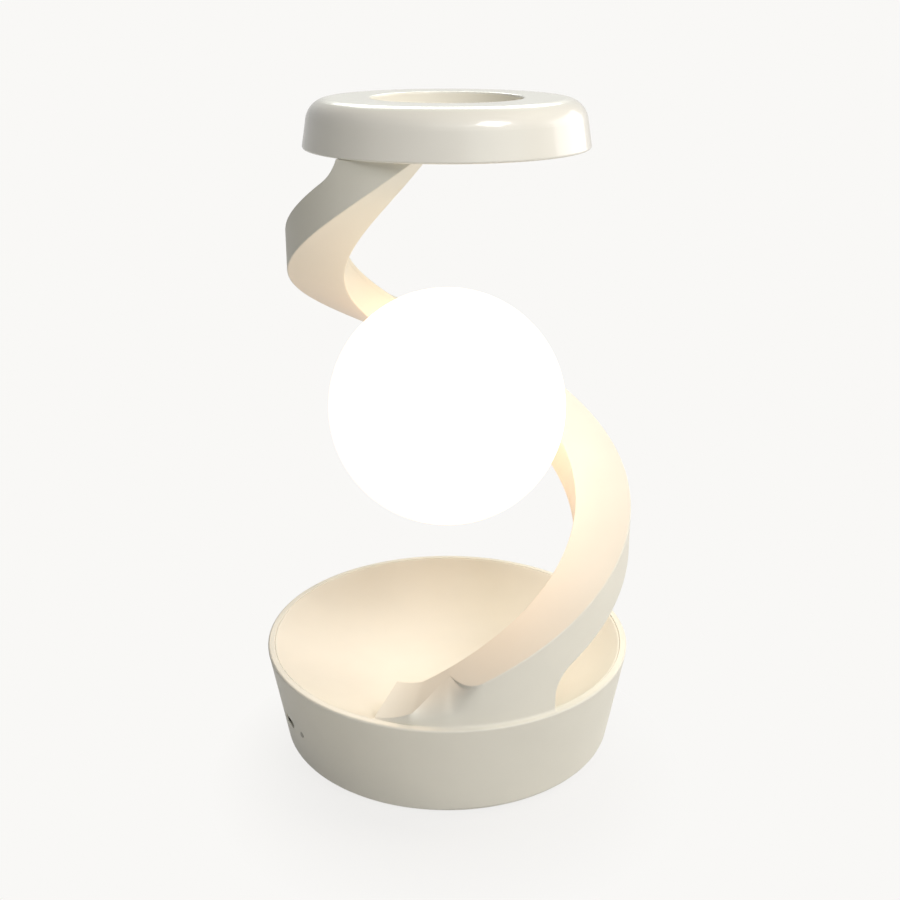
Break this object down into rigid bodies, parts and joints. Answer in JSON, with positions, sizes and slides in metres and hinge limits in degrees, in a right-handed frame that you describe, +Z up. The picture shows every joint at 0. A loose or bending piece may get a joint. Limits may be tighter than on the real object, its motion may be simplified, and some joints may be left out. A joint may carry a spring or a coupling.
{
  "type": "magnetic balance lamp",
  "caption": "Table lamp: round base with a tray, spiral arm, glowing globe held by a magnet, and a round charging head on top.",
  "frame": {"origin": "on the lamp's vertical axis, on the surface that the rubber feet stand on", "axes": "+Z up; -Y is the front, where the foot of the arm stands in the tray; +X is the right seen from the front"},
  "size_m": [0.1496, 0.1496, 0.2581],
  "materials": {
    "cream_satin": "satin warm white paint",
    "cream_gloss": "glossy warm white",
    "opal": "frosted opal diffuser",
    "silicone": "matt silicone",
    "grey_rubber": "matt",
    "zinc_steel": "zinc plated",
    "ballast_steel": "plain rolled",
    "nickel": "bright nickel plating",
    "gold_contact": "gold plated",
    "copper": "enamelled copper wire",
    "ferrite": "matt",
    "circuit_board": "solder mask",
    "white_board": "white solder mask",
    "component_black": "moulded",
    "led_yellow": "phosphor gel",
    "grey_plastic": "moulded",
    "aluminium_post": "turned",
    "cable_jacket": "soft sheath"
  },
  "bodies": {
    "lamp": {"arm_body": "cream_satin", "arm_cable": "cable_jacket", "arm_foot_screws": "zinc_steel", "arm_inner_strip": "cream_satin", "arm_tip_screws": "zinc_steel", "ballast_plate": "ballast_steel", "base_dish": "cream_satin", "base_shell": "cream_satin", "board_screws": "zinc_steel", "board_spacers": "grey_plastic", "bottom_cover": "cream_satin", "charger_board": "circuit_board", "charger_chips": "component_black", "charging_coil": "copper", "charging_pad": "silicone", "contact_pins": "gold_contact", "control_board": "circuit_board", "control_chips": "component_black", "cover_screws": "zinc_steel", "ferrite_disc": "ferrite", "head_cover": "cream_satin", "head_screws": "zinc_steel", "head_shell": "cream_gloss", "magnet_ring": "nickel", "mount_boss": "nickel", "mount_nut": "zinc_steel", "mount_plug": "component_black", "rubber_feet": "grey_rubber", "tact_switch": "component_black", "usb_c_socket": "nickel", "usb_c_tongue": "component_black"},
    "core": {"core_housing": "grey_plastic", "ring_magnet": "nickel", "contact_board": "circuit_board", "light_post": "aluminium_post", "light_board": "white_board", "light_chips": "led_yellow", "light_leads": "copper", "snap_ring": "zinc_steel"},
    "globe": {"globe_shade": "opal", "shade_collar": "grey_plastic"},
    "button": {"power_button": "grey_plastic", "switch_plunger": "grey_plastic"}
  },
  "joints": [
    {"name": "core_pull", "type": "slide", "parent": "lamp", "child": "core", "axis": [-0.2689, -0.9632, 0], "range_m": [0, 0.04]},
    {"name": "globe_spin", "type": "hinge", "parent": "core", "child": "globe", "pos_m": [0, 0, 0.14083], "axis": [0.2689, 0.9632, 0], "continuous": true},
    {"name": "power_press", "type": "slide", "parent": "lamp", "child": "button", "axis": [0.8131, 0.5821, 0], "range_m": [0, 0.0004], "stiffness_N_per_m": 1500, "springref_m": -0.0001}
  ]
}
